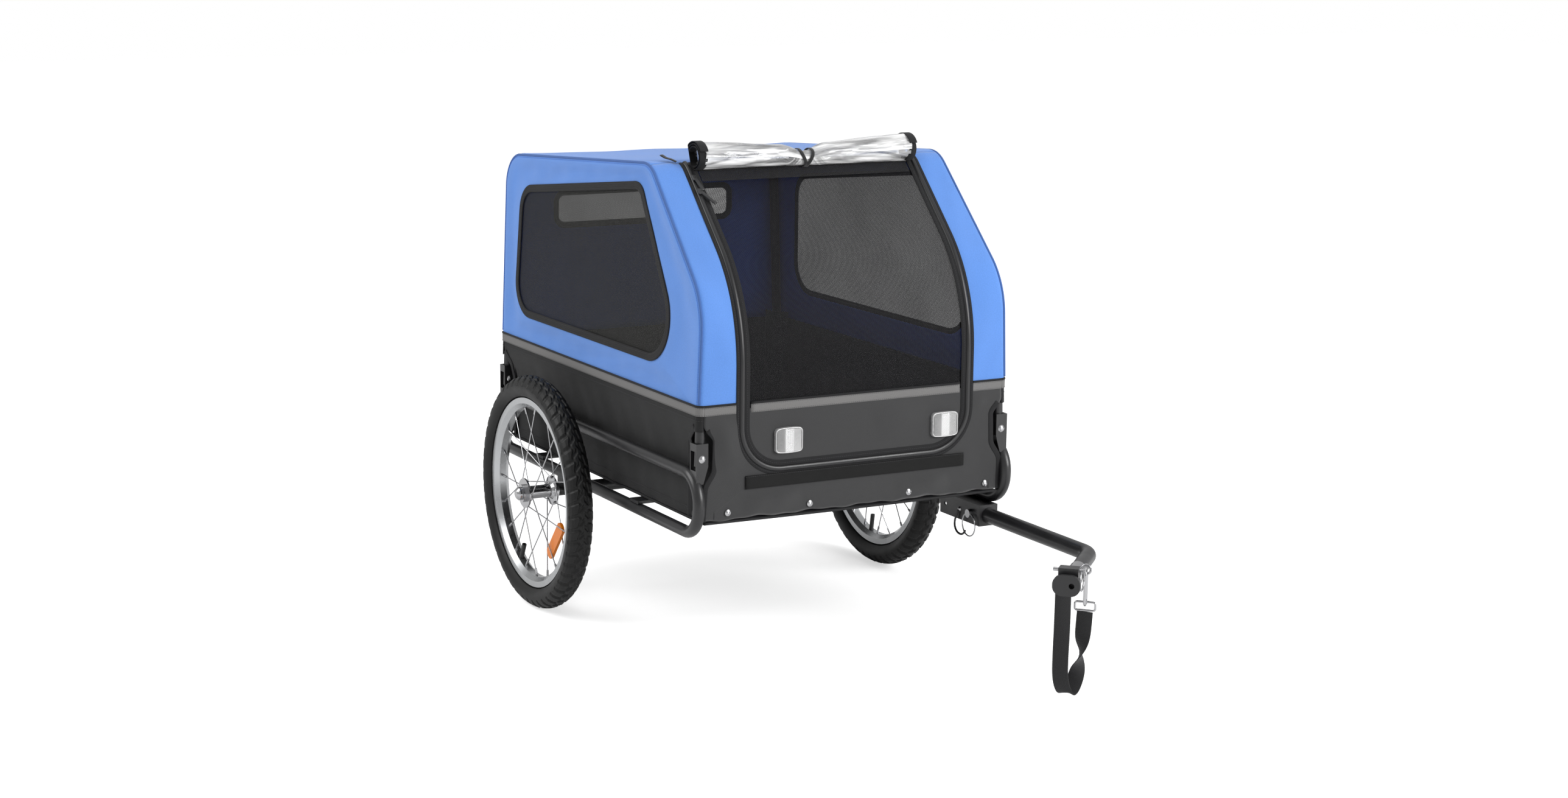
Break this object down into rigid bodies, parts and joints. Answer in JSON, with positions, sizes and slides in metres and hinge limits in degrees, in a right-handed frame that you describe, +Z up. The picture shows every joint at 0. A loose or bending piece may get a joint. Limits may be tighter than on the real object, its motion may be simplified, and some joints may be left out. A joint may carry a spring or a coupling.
{
  "type": "dog bike trailer",
  "caption": "Two-wheel bicycle trailer for a dog: fabric cabin with mesh windows on folding hoops, tubular chassis, side tow bar with flexible coupler and safety strap.",
  "frame": {"origin": "on the ground, midway between the wheels and straight below the axle", "axes": "+X is the direction of travel, +Y is left, +Z is up"},
  "size_m": [1.2047, 0.7446, 0.8032],
  "materials": {
    "frame_black": "satin black powder coat on steel tube",
    "bright_steel": "bright zinc and nickel plated steel",
    "rim_alloy": "brushed aluminium rim",
    "tyre_rubber": "black moulded tyre rubber",
    "soft_rubber": "soft black rubber",
    "cap_plastic": "black moulded plug",
    "amber_lens": "amber prism lens",
    "white_lens": "clear prism lens on silver",
    "blue_cloth": "coated blue oxford weave",
    "black_cloth": "coated black oxford weave",
    "black_mesh": "black woven net",
    "zip_tape": "black zip tape and hook strip",
    "webbing": "ribbed black nylon webbing",
    "clear_film": "clear flexible film, rolled",
    "glass_fibre": "flexible glass fibre rod"
  },
  "bodies": {
    "chassis": {"axle_beam": "frame_black", "axle_saddles": "frame_black", "bar_sleeve": "bright_steel", "coupler_bush": "soft_rubber", "cross_tubes": "frame_black", "door_zip": "zip_tape", "floor_bars": "frame_black", "floor_panel": "black_cloth", "front_apron": "black_cloth", "front_pillars": "blue_cloth", "hem_rivets": "bright_steel", "hinge_brackets": "frame_black", "hinge_rivets": "bright_steel", "hook_strip": "zip_tape", "rain_cover_roll": "clear_film", "rear_apron": "black_cloth", "rear_panel": "blue_cloth", "rear_window": "black_mesh", "receiver_cap": "cap_plastic", "roll_bindings": "black_cloth", "roof_panel": "blue_cloth", "roof_rods": "glass_fibre", "safety_strap": "webbing", "side_aprons": "black_cloth", "side_loop_left": "frame_black", "side_loop_right": "frame_black", "snap_hook": "bright_steel", "strap_ring": "bright_steel", "tether_screw": "bright_steel", "tow_bar": "frame_black", "tow_receiver": "frame_black", "wheel_axles": "bright_steel"},
    "right_frame": {"hoop_right": "frame_black", "side_panel_right": "blue_cloth", "side_window_right": "black_mesh", "side_skirt_right": "black_cloth"},
    "left_frame": {"hoop_left": "frame_black", "side_panel_left": "blue_cloth", "side_window_left": "black_mesh", "side_skirt_left": "black_cloth"},
    "right_wheel": {"tyre_right": "tyre_rubber", "inner_tube_right": "soft_rubber", "rim_right": "rim_alloy", "spokes_right": "bright_steel", "hub_shell_right": "bright_steel", "hub_bearings_right": "bright_steel", "spoke_reflector_right": "amber_lens"},
    "left_wheel": {"tyre_left": "tyre_rubber", "inner_tube_left": "soft_rubber", "rim_left": "rim_alloy", "spokes_left": "bright_steel", "hub_shell_left": "bright_steel", "hub_bearings_left": "bright_steel", "spoke_reflector_left": "amber_lens"},
    "door": {"door_mesh": "black_mesh", "door_lower": "black_cloth", "door_reflectors": "white_lens"},
    "hitch_pin": {"hitch_pin": "bright_steel"},
    "coupler": {"coupler_head": "frame_black"},
    "coupler_pin": {"coupler_pin": "bright_steel"}
  },
  "joints": [
    {"name": "right_side_fold", "type": "hinge", "parent": "chassis", "child": "right_frame", "pos_m": [0, -0.2717, 0.342], "axis": [-1, 0, 0], "range_deg": [0, 88], "deforming": ["roof_panel", "roof_rods", "front_pillars", "door_zip", "rear_panel", "rear_window", "rain_cover_roll", "roll_bindings"]},
    {"name": "left_side_fold", "type": "hinge", "parent": "chassis", "child": "left_frame", "pos_m": [0, 0.2717, 0.342], "axis": [1, 0, 0], "range_deg": [0, 78], "deforming": ["roof_panel", "roof_rods", "front_pillars", "door_zip", "rear_panel", "rear_window", "rain_cover_roll", "roll_bindings"]},
    {"name": "right_wheel_spin", "type": "hinge", "parent": "chassis", "child": "right_wheel", "pos_m": [0, -0.335, 0.197], "axis": [0, 1, 0], "continuous": true},
    {"name": "left_wheel_spin", "type": "hinge", "parent": "chassis", "child": "left_wheel", "pos_m": [0, 0.335, 0.197], "axis": [0, 1, 0], "continuous": true},
    {"name": "door_lift", "type": "hinge", "parent": "chassis", "child": "door", "pos_m": [0.29, 0, 0.771], "axis": [0, -1, 0], "range_deg": [0, 70]},
    {"name": "hitch_pin_pull", "type": "slide", "parent": "chassis", "child": "hitch_pin", "axis": [0, -1, 0], "range_m": [0, 0.045]},
    {"name": "coupler_swivel", "type": "hinge", "parent": "chassis", "child": "coupler", "pos_m": [0.86065, 0.15735, 0.195], "axis": [0.7071, -0.7071, 0], "range_deg": [-45, 45]},
    {"name": "coupler_pin_pull", "type": "slide", "parent": "coupler", "child": "coupler_pin", "axis": [0.7071, 0.7071, 0], "range_m": [0, 0.04]}
  ]
}
